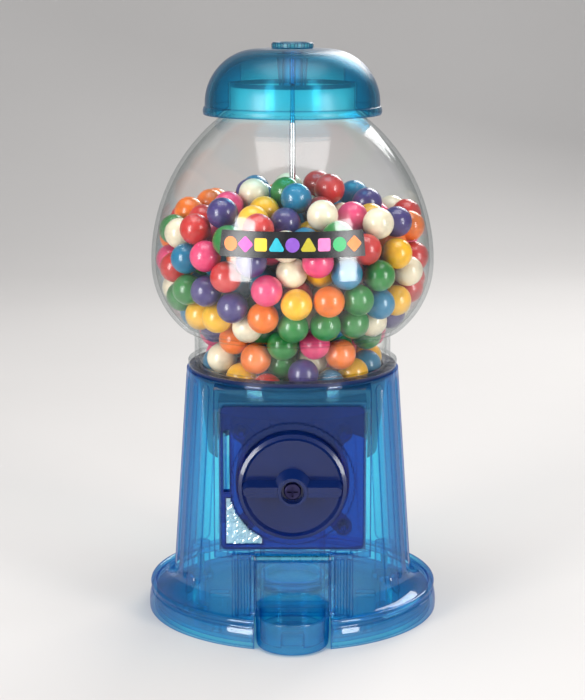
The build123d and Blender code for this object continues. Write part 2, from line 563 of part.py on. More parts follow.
# ---------------------------------------------------------------- lid and cap
RIBS, RIB_T, RIB_OUT, RIB_LOW = 4, 1.6, 31.5, 207.3
FLAT_R = LID_R - DOME_R
with BuildPart() as lid:
    with BuildSketch(Plane.XZ):
        with BuildLine():
            middle = (FLAT_R + DOME_R * cos(pi / 4), DOME_Z + DOME_R * sin(pi / 4))
            inner_middle = (FLAT_R + (DOME_R - WALL) * cos(pi / 4), DOME_Z + (DOME_R - WALL) * sin(pi / 4))
            Polyline((LID_R - WALL, LID_LOW), (BEAD_R - 0.3, LID_LOW))
            ThreePointArc((BEAD_R - 0.3, LID_LOW), (BEAD_R, LID_LOW + 1.6), (BEAD_R - 0.5, LID_LOW + 3.2))
            Polyline((BEAD_R - 0.5, LID_LOW + 3.2), (LID_R, LID_LOW + 3.4), (LID_R, DOME_Z))
            ThreePointArc((LID_R, DOME_Z), middle, (FLAT_R, LID_TOP))
            Polyline((FLAT_R, LID_TOP), (0, LID_TOP), (0, LID_TOP - WALL), (FLAT_R, LID_TOP - WALL))
            ThreePointArc((FLAT_R, LID_TOP - WALL), inner_middle, (LID_R - WALL, DOME_Z))
            Line((LID_R - WALL, DOME_Z), (LID_R - WALL, LID_LOW))
        make_face()
    revolve(axis=Axis.Z)
    # tapered socket under the middle for the cap
    with Locations((0, 0, SOCKET_LOW)):
        Cone(SOCKET_R - 0.6, SOCKET_R + 0.4, LID_TOP - WALL - SOCKET_LOW + 0.5,
             align=(Align.CENTER, Align.CENTER, Align.MIN))
    with Locations((0, 0, SOCKET_LOW - 1)):
        Cylinder(STEM_R + FIT, 30, align=(Align.CENTER, Align.CENTER, Align.MIN), mode=Mode.SUBTRACT)
# ribs under the dome stand on the neck of the globe and reach down beside it
with BuildPart() as rib_tool:
    with BuildSketch(Plane.XZ):
        with BuildLine():
            reach = sqrt((DOME_R - 0.8) ** 2 - (RIB_OUT - FLAT_R) ** 2)
            reach_in = sqrt((DOME_R - 0.8) ** 2 - (NECK_R - 4.5 - FLAT_R) ** 2)
            Polyline((NECK_R - 4.5, NECK_TOP), (NECK_R + 0.4, NECK_TOP), (NECK_R + 0.4, 211.5),
                     (RIB_OUT - 3, RIB_LOW + 2.2), (RIB_OUT - 0.5, RIB_LOW), (RIB_OUT, RIB_LOW + 0.5),
                     (RIB_OUT, DOME_Z + reach), (NECK_R - 4.5, DOME_Z + reach_in), close=True)
        make_face()
    extrude(amount=RIB_T / 2, both=True)
with lid:
    with PolarLocations(0, RIBS):
        add(rib_tool.part)
save(lid, "lid")

with BuildPart() as lid_cap:
    with BuildSketch(Plane.XZ):
        with BuildLine():
            cap_face = LID_TOP + CAP_T
            Polyline((0, LID_TOP), (CAP_R - 0.4, LID_TOP), (CAP_R, LID_TOP + 0.5), (CAP_R, cap_face - 0.6),
                     (CAP_R - 0.6, cap_face), (CAP_R - 2.4, cap_face), (CAP_R - 3, cap_face - 0.6),
                     (0, cap_face - 0.6), close=True)
        make_face()
    revolve(axis=Axis.Z)
    with Locations((0, 0, SOCKET_LOW + 1)):
        Cylinder(STEM_R, LID_TOP - SOCKET_LOW, align=(Align.CENTER, Align.CENTER, Align.MIN))
        Cylinder(ROD_R + FIT, ROD_TOP - SOCKET_LOW, align=(Align.CENTER, Align.CENTER, Align.MIN),
                 mode=Mode.SUBTRACT)
    with PolarLocations(CAP_R + 0.35, 18):
        with Locations((0, 0, LID_TOP)):
            Cylinder(0.7, CAP_T, align=(Align.CENTER, Align.CENTER, Align.MIN), mode=Mode.SUBTRACT)
save(lid_cap, "lid_cap")

# ---------------------------------------------------------------- tray, flap and hinge pin
TRAY_FLOOR, TRAY_WALL = 3.0, 1.6
with BuildPart() as tray:
    tray_length = TRAY_BACK_Y - TRAY_FRONT_Y
    tray_middle = (TRAY_BACK_Y + TRAY_FRONT_Y) / 2
    with BuildSketch(Plane.XY.offset(0.4)):
        with Locations(Location((0, tray_middle), 90)):
            SlotCenterToCenter(tray_length, 2 * TRAY_R - 0.8)
    extrude(amount=TRAY_TOP - 0.4, taper=-1.5)
    fillet(tray.faces().sort_by(Axis.Z)[0].edges(), 1.6)
    with BuildSketch(Plane.XY.offset(TRAY_TOP)):
        with Locations(Location((0, tray_middle), 90)):
            SlotCenterToCenter(tray_length, 2 * (TRAY_R - TRAY_WALL))
    extrude(amount=TRAY_FLOOR - TRAY_TOP, taper=2, mode=Mode.SUBTRACT)
    fillet(tray.faces().sort_by(Axis.Z)[-1].edges(), 0.6)
    # latch block behind the front wall
    with Locations((0, TRAY_FRONT_Y - TRAY_R + 3.2, TRAY_FLOOR)):
        Box(8.7, 3.6, 6.2, align=(Align.CENTER, Align.CENTER, Align.MIN))
save(tray, "tray")

FLAP_HALF, FLAP_FRONT, FLAP_BACK, BARREL_R, PIN_R = 14.9, -49.0, -47.5, 1.8, 1.0
with BuildPart() as flap:
    with BuildSketch(Plane.YZ):
        with BuildLine():
            Polyline((FLAP_BACK, HINGE_Z), (FLAP_BACK, FLAP_LOW + 1), (FLAP_BACK - 0.6, FLAP_LOW),
                     (FLAP_FRONT - 1.4, FLAP_LOW), (FLAP_FRONT - 1.4, FLAP_LOW + 1.2),
                     (FLAP_FRONT, FLAP_LOW + 2.2), (FLAP_FRONT, HINGE_Z), close=True)
        make_face()
        with Locations((HINGE_Y, HINGE_Z)):
            Circle(BARREL_R)
            Circle(PIN_R + FIT, mode=Mode.SUBTRACT)
    extrude(amount=FLAP_HALF, both=True)
save(flap, "flap")

with BuildPart() as flap_pin:
    with Locations(Location((0, HINGE_Y, HINGE_Z), (0, 90, 0))):
        Cylinder(PIN_R, 2 * (CHUTE_HALF + 1.4))
    chamfer(flap_pin.edges(), 0.2)
save(flap_pin, "flap_pin")

# ---------------------------------------------------------------- bottom plate, its screws, the coin plug
CLIPS, CLIP_W, CLIP_FIRST = 6, 3.6, 32.5
with BuildPart() as bottom_plate:
    with BuildSketch(Plane.XY.offset(FLOOR_LOW)):
        Circle(FLOOR_R)
        with Locations((0, -50)):
            Rectangle(2 * CHUTE_HALF + 1.2, 49, mode=Mode.SUBTRACT)
        with Locations((0, PLUG_Y)):
            Circle(PLUG_R + 0.4, mode=Mode.SUBTRACT)
        with Locations((-31.5, 1), (31.5, 1)):
            SlotOverall(9, 5, mode=Mode.SUBTRACT)
    extrude(amount=FLOOR_T)
    with Locations(*[(x, y, FLOOR_LOW) for x, y in BOSSES]):
        Cylinder(5.4, 4, align=(Align.CENTER, Align.CENTER, Align.MIN))
    # raised collar round the coin plug
    with BuildSketch(Plane.XY.offset(FLOOR_LOW)):
        with Locations((0, PLUG_Y)):
            Circle(PLUG_R + 2.4)
            Circle(PLUG_R + 0.4, mode=Mode.SUBTRACT)
    extrude(amount=4)
    # inner ring that stiffens the plate
    with BuildSketch(Plane.XY.offset(FLOOR_LOW)):
        Circle(54)
        Circle(52.6, mode=Mode.SUBTRACT)
        with Locations((0, -50)):
            Rectangle(2 * CHUTE_HALF + 1.2, 60, mode=Mode.SUBTRACT)
    extrude(amount=FLOOR_T + 1.6)
    with BuildSketch(Plane.XY.offset(FLOOR_LOW)):
        with PolarLocations(FLOOR_R - 1.2, CLIPS, start_angle=CLIP_FIRST - 90,
                            angular_range=360 - 2 * CLIP_FIRST, endpoint=True):
            Rectangle(1.6, CLIP_W)
    extrude(amount=5.2)
    with Locations(*[(x, y, FLOOR_LOW - 1) for x, y in BOSSES]):
        Cylinder(1.75, 8, align=(Align.CENTER, Align.CENTER, Align.MIN), mode=Mode.SUBTRACT)
        Cylinder(3.2, 3, align=(Align.CENTER, Align.CENTER, Align.MIN), mode=Mode.SUBTRACT)
save(bottom_plate, "bottom_plate")

with BuildPart() as bottom_screws:
    with Locations(*[(x, y, FLOOR_LOW + 0.2) for x, y in BOSSES]):
        Cylinder(2.9, 1.8, align=(Align.CENTER, Align.CENTER, Align.MIN))
        Cylinder(1.5, 12, align=(Align.CENTER, Align.CENTER, Align.MIN))
    for x, y in BOSSES:
        with Locations((x, y, FLOOR_LOW + 0.2)):
            Box(3.6, 0.7, 1.6, mode=Mode.SUBTRACT)
            Box(0.7, 3.6, 1.6, mode=Mode.SUBTRACT)
save(bottom_screws, "bottom_screws")

with BuildPart() as coin_plug:
    with Locations((0, PLUG_Y, 0.5)):
        Cylinder(PLUG_R + 2.2, 1.0, align=(Align.CENTER, Align.CENTER, Align.MIN))
        Cylinder(PLUG_R, 6.0, align=(Align.CENTER, Align.CENTER, Align.MIN))
        Cylinder(PLUG_R - 2, 10, mode=Mode.SUBTRACT, align=(Align.CENTER, Align.CENTER, Align.MIN))
    with Locations((0, PLUG_Y, 1.5)):
        Cylinder(PLUG_R - 1.9, 2.0, align=(Align.CENTER, Align.CENTER, Align.MIN))
        Box(2.4, 2 * PLUG_R - 4, 1.0, align=(Align.CENTER, Align.CENTER, Align.MAX))
save(coin_plug, "coin_plug")

# ---------------------------------------------------------------- gumballs
COLOURS = ("red", "orange", "yellow", "green", "teal", "purple", "pink", "white")
BALL_COUNT, SINK_STEPS, REST_STEPS, BALL_GAP = 318, 1100, 500, 0.18


def container(z):
    """Centre y and inner radius of the space for gumballs at each height z, with their slopes in z."""
    (upper_c, upper_r), (lower_c, lower_r) = bowl_arcs(GLOBE_T)
    low_z = GLOBE_Z - lower_r * sin(radians(LOWER_END))
    low_r = lower_c + lower_r * cos(radians(LOWER_END))
    throat_r = THROAT_R - GLOBE_T
    rise = np.clip(z - GLOBE_Z, low_z - GLOBE_Z, upper_r - 1)
    upper = upper_c + np.sqrt(upper_r ** 2 - np.maximum(rise, 0) ** 2)
    lower = lower_c + np.sqrt(lower_r ** 2 - np.minimum(rise, 0) ** 2)
    radius = np.where(rise > 0, upper, lower)
    narrowing = (low_r - throat_r) * np.clip(1 + (z - low_z) / 3, 0, 1) ** 2
    radius = np.where(z < low_z, throat_r + narrowing, radius)
    share = np.clip((FUNNEL_TOP_Z - z) / (FUNNEL_TOP_Z - FUNNEL_LOW_Z), 0, 1)
    in_funnel = z < BASE_TOP_Z + RIM_T
    radius = np.where(in_funnel, FUNNEL_TOP_R + share * (POCKET_R - FUNNEL_TOP_R), radius)
    return share * POCKET_Y, radius


def keep_inside(place):
    """Push gumballs that stand in the wall, the rod or the drum back into the free space."""
    for lift in BALL_R * np.cos(np.linspace(0, pi, 17)):
        # each level slice of a ball has to fit inside the round space at its own height
        height = place[:, 2] + lift
        centre_y, radius = container(height)
        centre_y_above, radius_above = container(height + 0.1)
        away_y = place[:, 1] - centre_y
        off_axis = np.sqrt(place[:, 0] ** 2 + away_y ** 2) + 1e-9
        slope = (radius_above - radius) / 0.1 + away_y / off_axis * (centre_y_above - centre_y) / 0.1
        slant = 1 + np.clip(slope, -6, 6) ** 2
        push = np.clip(off_axis + sqrt(max(0, BALL_R ** 2 - lift ** 2)) + BALL_GAP - radius, 0, 2) / slant
        place[:, 0] -= place[:, 0] / off_axis * push
        place[:, 1] -= away_y / off_axis * push
        place[:, 2] += push * np.clip(slope, -6, 6)
    from_rod = np.sqrt((place[:, :2] ** 2).sum(axis=1)) + 1e-9
    rod_push = np.clip(ROD_R + BALL_R + BALL_GAP - from_rod, 0, 1)
    place[:, :2] += place[:, :2] / from_rod[:, None] * rod_push[:, None]
    place[:, 2] = np.maximum(place[:, 2], KNOB_Z + DRUM_R + BALL_R + GAP)


def settle_gumballs():
    """Let the gumballs sink inside the globe and hopper until they lie on each other, clear of the walls."""
    random = np.random.default_rng(7)
    height = random.uniform(112, 210, BALL_COUNT)
    spread = random.uniform(3, 40, BALL_COUNT)
    angle = random.uniform(0, 2 * pi, BALL_COUNT)
    place = np.stack([spread * np.cos(angle), spread * np.sin(angle), height], axis=1)
    reach = 2 * BALL_R + BALL_GAP
    for count in range(SINK_STEPS + REST_STEPS):
        place[:, 2] -= 0.3 * max(0, 1 - count / SINK_STEPS)
        if count % 10 == 0:
            apart = place[:, None, :] - place[None, :, :]
            first, second = np.nonzero(np.triu((apart ** 2).sum(axis=2) < (reach + 6) ** 2, 1))
        for _ in range(3):
            apart = place[first] - place[second]
            distance = np.sqrt((apart ** 2).sum(axis=1)) + 1e-9
            push = apart * (0.45 * np.clip(reach - distance, 0, None) / distance)[:, None]
            np.add.at(place, first, push)
            np.add.at(place, second, -push)
            keep_inside(place)
    return place


places = settle_gumballs()
colour_of = np.random.default_rng(3).permutation(np.arange(BALL_COUNT) % len(COLOURS))
for index, colour in enumerate(COLOURS):
    with BuildPart() as gumballs:
        with Locations(*[tuple(float(value) for value in place) for place in places[colour_of == index]]):
            Sphere(BALL_R)
    save(gumballs, f"gumballs_{colour}")

with BuildPart() as gumball_in_drum:
    with Locations((0, POCKET_Y, KNOB_Z + POCKET_FLOOR + BALL_R + 0.5)):
        Sphere(BALL_R)
save(gumball_in_drum, "gumball_in_drum")
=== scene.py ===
"""Looks of the table-top gumball machine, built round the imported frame. Lengths are in metres."""

from math import atan2, cos, pi, sin, sqrt, tan

import bmesh
import bpy
import numpy as np
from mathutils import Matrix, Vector, noise


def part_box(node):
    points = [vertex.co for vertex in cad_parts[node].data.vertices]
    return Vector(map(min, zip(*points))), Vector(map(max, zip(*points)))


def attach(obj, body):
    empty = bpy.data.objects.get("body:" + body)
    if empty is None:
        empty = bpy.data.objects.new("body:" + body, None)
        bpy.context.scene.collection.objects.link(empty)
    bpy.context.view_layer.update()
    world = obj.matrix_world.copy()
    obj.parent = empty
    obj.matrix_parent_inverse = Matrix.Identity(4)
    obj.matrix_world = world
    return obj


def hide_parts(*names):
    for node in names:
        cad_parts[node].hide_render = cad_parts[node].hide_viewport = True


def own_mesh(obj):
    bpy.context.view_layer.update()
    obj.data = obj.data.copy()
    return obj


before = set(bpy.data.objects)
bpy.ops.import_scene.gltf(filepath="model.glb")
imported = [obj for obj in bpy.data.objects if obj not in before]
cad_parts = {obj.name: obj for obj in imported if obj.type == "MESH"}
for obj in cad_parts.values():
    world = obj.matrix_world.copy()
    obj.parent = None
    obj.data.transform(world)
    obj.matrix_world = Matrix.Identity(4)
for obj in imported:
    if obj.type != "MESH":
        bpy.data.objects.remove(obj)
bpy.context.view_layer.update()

MM = 0.001
COLOURS = ("red", "orange", "yellow", "green", "teal", "purple", "pink", "white")

GLOBE_LOW, GLOBE_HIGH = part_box("globe")
AXIS_Y = (GLOBE_LOW[1] + GLOBE_HIGH[1]) / 2

scene = bpy.context.scene
scene.cycles.max_bounces = 24
scene.cycles.transparent_max_bounces = 64
scene.view_settings.view_transform = "Standard"


# ---------------------------------------------------------------- camera
CAMERA_DISTANCE = 0.740
CAMERA_HEIGHT = 0.260
FILL = 0.88                      # share of the picture's height that the machine fills


def add_camera():
    """Camera above the lid's height, tilted down so that the machine stands mid-picture."""
    tray_low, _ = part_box("tray")
    _, cap_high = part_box("lid_cap")
    low_angle = atan2(CAMERA_HEIGHT, CAMERA_DISTANCE - AXIS_Y + tray_low[1])
    high_angle = atan2(CAMERA_HEIGHT - cap_high[2], CAMERA_DISTANCE)
    tilt = (low_angle + high_angle) / 2
    half_view = tan((low_angle - high_angle) / 2) / FILL
    data = bpy.data.cameras.new("camera")
    data.sensor_width = 36
    data.lens = 18 / half_view
    data.clip_start = 0.01
    camera = bpy.data.objects.new("camera", data)
    scene.collection.objects.link(camera)
    camera.location = (0, AXIS_Y - CAMERA_DISTANCE, CAMERA_HEIGHT)
    camera.rotation_euler = (pi / 2 - tilt, 0, 0)
    scene.camera = camera


# ---------------------------------------------------------------- node helpers
class Shader:
    """A material's node tree, with short ways to add and join nodes."""

    def __init__(self, name):
        self.material = bpy.data.materials.new(name)
        self.material.use_nodes = True
        self.nodes = self.material.node_tree.nodes
        self.links = self.material.node_tree.links
        self.nodes.clear()
        self.output = self.nodes.new("ShaderNodeOutputMaterial")

    def add(self, kind, **settings):
        """Add a node; settings are its attributes, or values of its inputs by name."""
        node = self.nodes.new(kind)
        for key, value in settings.items():
            if hasattr(node, key):
                setattr(node, key, value)
            else:
                node.inputs[key.replace("_", " ")].default_value = value
        return node

    def join(self, source, target):
        self.links.new(source, target)

    def noise(self, scale, detail=2.0, stretch=(1, 1, 1)):
        """Noise in object space, so it doesn't slide with the view."""
        place = self.add("ShaderNodeTexCoord")
        mapping = self.add("ShaderNodeMapping")
        mapping.inputs["Scale"].default_value = stretch
        pattern = self.add("ShaderNodeTexNoise", Scale=scale, Detail=detail)
        self.join(place.outputs["Object"], mapping.inputs["Vector"])
        self.join(mapping.outputs["Vector"], pattern.inputs["Vector"])
        return pattern.outputs["Fac"]

    def ramp(self, source, *stops):
        """Colour ramp over a value; stops are (position, colour)."""
        node = self.add("ShaderNodeValToRGB")
        while len(node.color_ramp.elements) < len(stops):
            node.color_ramp.elements.new(0.5)
        for element, (position, colour) in zip(node.color_ramp.elements, stops):
            element.position = position
            element.color = (*colour, 1)
        self.join(source, node.inputs["Fac"])
        return node.outputs["Color"]

    def scaled(self, source, low, high):
        """Map 0..1 to low..high."""
        node = self.add("ShaderNodeMapRange")
        node.inputs["To Min"].default_value = low
        node.inputs["To Max"].default_value = high
        self.join(source, node.inputs["Value"])
        return node.outputs["Result"]

    def bump(self, source, distance, strength=0.3):
        node = self.add("ShaderNodeBump", Strength=strength, Distance=distance)
        self.join(source, node.inputs["Height"])
        return node.outputs["Normal"]


def clear_plastic(name, face, edge, body, haze=0.05, ripple=0.25, roughness=0.06, gloss_floor=0.04,
                  turns=(0.05, 0.35, 0.92), middle=None, rim=0.0, bands=None):
    """Thin see-through moulding: each surface tints what lies behind it, more where it turns away.

    face, middle and edge are the tints at turns, from square on to edge on, and body is the colour of
    the haze. rim is how far in from an edge the tint is pulled towards edge: painted shade standing in for
    the dark lines that refraction draws along rounded edges. bands are (height, haze, body colour) stops
    for a moulding whose wall changes along Z.
    """
    shader = Shader(name)
    layer = shader.add("ShaderNodeLayerWeight", Blend=0.5)
    middle = middle or tuple(0.6 * a + 0.4 * b for a, b in zip(face, edge))
    tint = shader.ramp(layer.outputs["Facing"], *zip(turns, (face, middle, edge)))
    through = shader.add("ShaderNodeBsdfTransparent")
    # Painted shade: within rim of an edge the tint is darkened towards edge, for the dark lines refraction
    # draws at rounded edges.
    if rim:
        rounded = shader.add("ShaderNodeBevel", samples=4, Radius=rim)
        surface = shader.add("ShaderNodeNewGeometry")
        agree = shader.add("ShaderNodeVectorMath", operation="DOT_PRODUCT")
        shader.join(rounded.outputs["Normal"], agree.inputs[0])
        shader.join(surface.outputs["Normal"], agree.inputs[1])
        painted_edge_shade_mask = shader.add("ShaderNodeMapRange")
        for key, value in (("From Min", 1.0), ("From Max", 0.9), ("To Min", 0.0), ("To Max", 0.88)):
            painted_edge_shade_mask.inputs[key].default_value = value
        shader.join(agree.outputs["Value"], painted_edge_shade_mask.inputs["Value"])
        painted_edge_shade = shader.add("ShaderNodeMix", data_type="RGBA")
        shader.join(painted_edge_shade_mask.outputs["Result"], painted_edge_shade.inputs["Factor"])
        shader.join(tint, painted_edge_shade.inputs[6])
        painted_edge_shade.inputs[7].default_value = (*edge, 1)
        tint = painted_edge_shade.outputs[2]
    shader.join(tint, through.inputs["Color"])
    normal = shader.bump(shader.noise(90, 1.5), 0.0006, ripple)
    solid = shader.add("ShaderNodeBsdfPrincipled", Roughness=0.35)
    hazy = shader.add("ShaderNodeMixShader")
    if bands:
        place = shader.add("ShaderNodeTexCoord")
        split = shader.add("ShaderNodeSeparateXYZ")
        shader.join(place.outputs["Object"], split.inputs["Vector"])
        low, high = bands[0][0], bands[-1][0]
        along = shader.add("ShaderNodeMapRange")
        along.inputs["From Min"].default_value = low
        along.inputs["From Max"].default_value = high
        shader.join(split.outputs["Z"], along.inputs["Value"])
        stops = [((height - low) / (high - low), amount, colour) for height, amount, colour in bands]
        tones = shader.ramp(along.outputs["Result"], *[(at, colour) for at, _, colour in stops])
        amounts = shader.ramp(along.outputs["Result"], *[(at, (amount,) * 3) for at, amount, _ in stops])
        shader.join(tones, solid.inputs["Base Color"])
        shader.join(amounts, hazy.inputs["Fac"])
    else:
        deep = tuple(0.8 * value for value in body)
        cloud = shader.ramp(shader.noise(45, 3), (0.35, deep), (0.65, body))
        shader.join(cloud, solid.inputs["Base Color"])
        shader.join(shader.scaled(layer.outputs["Facing"], haze, haze * 1.8), hazy.inputs["Fac"])
    shader.join(normal, solid.inputs["Normal"])
    shader.join(through.outputs["BSDF"], hazy.inputs[1])
    shader.join(solid.outputs["BSDF"], hazy.inputs[2])
    gloss = shader.add("ShaderNodeBsdfGlossy", Roughness=roughness)
    gloss.inputs["Color"].default_value = (1, 1, 1, 1)
    shader.join(normal, gloss.inputs["Normal"])
    power = shader.add("ShaderNodeMath", operation="POWER")
    power.inputs[1].default_value = 5
    shader.join(layer.outputs["Facing"], power.inputs[0])
    mix = shader.add("ShaderNodeMixShader")
    shader.join(shader.scaled(power.outputs["Value"], gloss_floor, 0.55), mix.inputs["Fac"])
    shader.join(hazy.outputs["Shader"], mix.inputs[1])
    shader.join(gloss.outputs["BSDF"], mix.inputs[2])
    shader.join(mix.outputs["Shader"], shader.output.inputs["Surface"])
    return shader.material


def candy(name, colour):
    """Glazed gumball: slightly uneven colour, dimpled sugar shell, waxed gloss."""
    shader = Shader(name)
    pale = tuple(0.94 * value + 0.06 for value in colour)
    deep = tuple(0.72 * value for value in colour)
    tone = shader.ramp(shader.noise(130, 4), (0.3, deep), (0.5, colour), (0.78, pale))
    normal = shader.bump(shader.noise(420, 3), 0.0004, 0.35)
    solid = shader.add("ShaderNodeBsdfPrincipled", Roughness=0.3)
    solid.inputs["Coat Weight"].default_value = 0.5
    solid.inputs["Coat Roughness"].default_value = 0.12
    solid.inputs["Subsurface Weight"].default_value = 0.12
    solid.inputs["Subsurface Radius"].default_value = (0.003, 0.002, 0.0015)
    solid.inputs["Subsurface Scale"].default_value = 0.5
    shader.join(tone, solid.inputs["Base Color"])
    shader.join(normal, solid.inputs["Normal"])
    shader.join(solid.outputs["BSDF"], shader.output.inputs["Surface"])
    return shader.material


def opaque(name, dark, light, roughness=(0.25, 0.45), metallic=0.0, scale=150, stretch=(1, 1, 1),
           dent=0.0002):
    """Opaque plastic, rubber or steel with uneven colour, gloss and surface."""
    shader = Shader(name)
    pattern = shader.noise(scale, 4, stretch)
    solid = shader.add("ShaderNodeBsdfPrincipled", Metallic=metallic)
    shader.join(shader.ramp(pattern, (0.3, dark), (0.7, light)), solid.inputs["Base Color"])
    shader.join(shader.scaled(pattern, *roughness), solid.inputs["Roughness"])
    shader.join(shader.bump(pattern, dent, 0.3), solid.inputs["Normal"])
    shader.join(solid.outputs["BSDF"], shader.output.inputs["Surface"])
    return shader.material


# ---------------------------------------------------------------- materials of the CAD nodes
# rim gives the shell, the deep blue parts and the lid painted shade along their edges.
SHELL_BLUE = clear_plastic("shell_blue", (0.74, 0.975, 0.998), (0.0, 0.11, 0.54), (0.0, 0.58, 1.0),
                           haze=0.045, middle=(0.46, 0.92, 1.0), turns=(0.04, 0.36, 0.93), rim=1.2 * MM)
DEEP_BLUE = clear_plastic("deep_blue", (0.06, 0.30, 0.72), (0.0, 0.04, 0.26), (0.0, 0.055, 0.30),
                          haze=0.2, gloss_floor=0.02, rim=0.8 * MM)
HOPPER_BLUE = clear_plastic("hopper_blue", (0.02, 0.09, 0.36), (0.0, 0.01, 0.12), (0.0, 0.012, 0.10),
                            haze=0.55, gloss_floor=0.02)
KNOB_BLUE = clear_plastic("knob_blue", (0.03, 0.18, 0.55), (0.0, 0.02, 0.18), (0.0, 0.028, 0.20),
                          haze=0.3, roughness=0.12, gloss_floor=0.03)
LID_BLUE = clear_plastic("lid_blue", (0.42, 0.87, 0.95), (0.0, 0.13, 0.33), (0.0, 0.42, 0.66),
                         haze=0.035, roughness=0.3, gloss_floor=0.02, turns=(0.2, 0.6, 0.95),
                         rim=0.9 * MM)
# The second colour is painted shade: the dark band that stands for the shade under the lid on the neck's
# top rim.
NECK_GREEN, NECK_RIM_PAINTED_SHADE = (0.70, 0.86, 0.80), (0.01, 0.07, 0.12)
GLOBE_BANDS = (                 # the clear wall turns frosted up the neck and ends in a band of painted shade on the neck's top rim, under the lid
    (0.206, 0.0, NECK_GREEN), (0.210, 0.34, NECK_GREEN), (0.2195, 0.34, NECK_GREEN),
    (0.2198, 0.8, NECK_RIM_PAINTED_SHADE), (0.222, 0.8, NECK_RIM_PAINTED_SHADE),
)
CLEAR = clear_plastic("clear", (0.99, 0.995, 0.992), (0.22, 0.28, 0.29), (0.7, 0.78, 0.8),
                      ripple=0.08, roughness=0.1, gloss_floor=0.03, turns=(0.55, 0.90, 0.99),
                      bands=GLOBE_BANDS)
STEEL = opaque("steel", (0.5, 0.5, 0.52), (0.75, 0.75, 0.77), (0.18, 0.35), 1.0, 300, (1, 1, 0.05))
DARK_STEEL = opaque("dark_steel", (0.02, 0.018, 0.06), (0.05, 0.045, 0.11), (0.3, 0.45), 1.0, 300)
BLACK = opaque("label_black", (0.004, 0.004, 0.005), (0.012, 0.012, 0.014), (0.2, 0.35), scale=200)
RUBBER = opaque("rubber_blue", (0.02, 0.07, 0.25), (0.03, 0.11, 0.36), (0.5, 0.7))

FINISH = {
    "base_shell": SHELL_BLUE, "bottom_plate": SHELL_BLUE, "tray": SHELL_BLUE, "flap": SHELL_BLUE,
    "chute": SHELL_BLUE, "coin_guide": SHELL_BLUE,
    "front_plate": DEEP_BLUE, "drum": DEEP_BLUE, "drum_housing": DEEP_BLUE, "ratchet_wheel": DEEP_BLUE,
    "pawl": DEEP_BLUE, "knob": KNOB_BLUE, "hopper": HOPPER_BLUE,
    "lid": LID_BLUE, "lid_cap": LID_BLUE, "globe": CLEAR,
    "centre_rod": STEEL, "rod_nut": STEEL, "rod_washer": STEEL, "flap_pin": STEEL, "pawl_spring": STEEL,
    "bottom_screws": STEEL, "housing_screws": STEEL, "shaft_clip": STEEL, "knob_screw": DARK_STEEL,
    "label_panel": BLACK, "coin_plug": RUBBER,
}


def finish_nodes():
    """Give every carried-over CAD node its material."""
    for name, material in FINISH.items():
        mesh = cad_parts[name].data
        mesh.materials.clear()
        mesh.materials.append(material)


# ---------------------------------------------------------------- gumballs
CANDY = {
    "red": (0.56, 0.018, 0.014), "orange": (0.84, 0.17, 0.004), "yellow": (0.88, 0.46, 0.004),
    "green": (0.014, 0.20, 0.03), "teal": (0.0, 0.17, 0.32), "purple": (0.045, 0.028, 0.16),
    "pink": (0.76, 0.05, 0.17), "white": (0.84, 0.74, 0.54),
}
BALL_R = 6.35 * MM
DENT_DEPTH, PIT_DEPTH = 0.012, 0.004        # shares of the radius
BALL_SCALE, HIGHEST_BUMP = 0.992, 0.008     # so that no ball stands out of its CAD solid
SAME_BALL = 0.12 * MM


def ball_centres(node):
    """Centres of the separate balls in a CAD node: the highest point left is always the top of a ball."""
    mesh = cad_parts[node].data
    points = np.empty(len(mesh.vertices) * 3)
    mesh.vertices.foreach_get("co", points)
    points = points.reshape(-1, 3)
    centres = []
    while len(points):
        centre = points[np.argmax(points[:, 2])] - (0, 0, BALL_R)
        centres.append(Vector(centre))
        off_surface = np.abs(np.sqrt(((points - centre) ** 2).sum(axis=1)) - BALL_R)
        points = points[off_surface > SAME_BALL]
    return centres


def link(name, mesh_builder, material, body, smooth=True):
    """Turn a bmesh into a named piece that rides on a body."""
    mesh = bpy.data.meshes.new(name)
    mesh_builder.to_mesh(mesh)
    mesh_builder.free()
    for polygon in mesh.polygons:
        polygon.use_smooth = smooth
    mesh.materials.append(material)
    piece = bpy.data.objects.new(name, mesh)
    scene.collection.objects.link(piece)
    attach(piece, body)
    return piece


def add_balls(name, centres, colour, body, node, seed):
    """Gumballs at these centres: round, but each with its own shallow dents."""
    builder = bmesh.new()
    for number, centre in enumerate(centres):
        made = bmesh.ops.create_icosphere(builder, subdivisions=3, radius=BALL_R)["verts"]
        shift = Vector((seed * 3.1 + number * 1.7, number * 0.9, seed * 1.3))
        for vertex in made:
            direction = vertex.co.normalized()
            dent = noise.noise(direction * 1.3 + shift) * DENT_DEPTH
            dent += noise.noise(direction * 4 + shift) * PIT_DEPTH
            vertex.co = centre + direction * BALL_R * (BALL_SCALE + min(dent, HIGHEST_BUMP))
    piece = link(name, builder, candy("candy_" + name, colour), body)
    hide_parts(node)


def add_gumballs():
    for seed, colour in enumerate(COLOURS):
        node = "gumballs_" + colour
        add_balls("balls_" + colour, ball_centres(node), CANDY[colour], "machine", node, seed)
    waiting = "gumball_in_drum"
    add_balls("ball_pink_waiting", ball_centres(waiting), CANDY["pink"], "knob", waiting, len(COLOURS) + 1)


# ---------------------------------------------------------------- pawl spring
SPRING_TURNS, SPRING_WIRE_R = 6.5, 0.2 * MM
SPRING_STEPS, WIRE_SIDES = 26, 10          # points in each turn, and round the wire


def coil_rise(turned, turns, closed=0.75, lie=0.3):
    """How far up a coil spring is after this many turns, from 0 to 1: its end turns lie flatter."""
    whole = turns - 2 * closed + 2 * closed * lie
    middle = min(max(turned - closed, 0), turns - 2 * closed)
    return (lie * min(turned, closed) + middle + lie * max(turned - turns + closed, 0)) / whole


